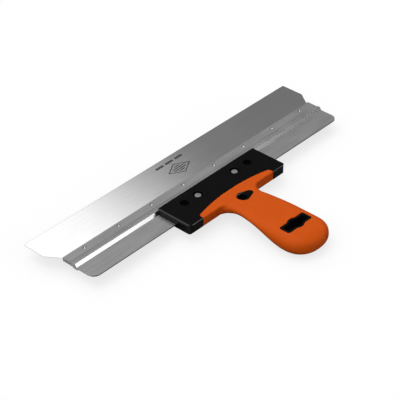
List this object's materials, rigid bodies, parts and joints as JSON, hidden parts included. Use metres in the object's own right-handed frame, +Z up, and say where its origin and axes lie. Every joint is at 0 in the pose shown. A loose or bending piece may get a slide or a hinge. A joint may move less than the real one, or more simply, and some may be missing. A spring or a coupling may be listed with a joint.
{
  "type": "flexible putty knife",
  "caption": "Wide hand spatula: thin flexible steel blade held in an aluminium rail, riveted to a cross block with a soft grip.",
  "frame": {"origin": "middle of the working edge, on the blade's mid-plane", "axes": "+X along the working edge, +Y from the grip towards the working edge, +Z up, out of the handle face with the rivet heads"},
  "size_m": [0.45, 0.2403, 0.026],
  "materials": {
    "stainless_blade": "fine ground satin, near mirror at low angles",
    "aluminium_rail": "satin anodised extrusion",
    "hard_plastic": "fine moulded grain, semi-matt",
    "soft_grip": "matt soft-touch moulding",
    "rivet_aluminium": "pressed, satin",
    "mandrel_steel": "zinc-plated wire, broken end"
  },
  "bodies": {
    "handle": {"rail": "aluminium_rail", "handle_core": "hard_plastic", "grip_cover": "soft_grip", "rivet_bodies": "rivet_aluminium", "rivet_mandrels": "mandrel_steel"},
    "blade": {"blade": "stainless_blade"}
  },
  "joints": [
    {"name": "blade_flex", "type": "hinge", "parent": "handle", "child": "blade", "pos_m": [0, -0.0425, 0], "axis": [1, 0, 0], "range_deg": [-15, 15], "stiffness_Nm_per_rad": 24, "deforming": ["blade"]}
  ]
}
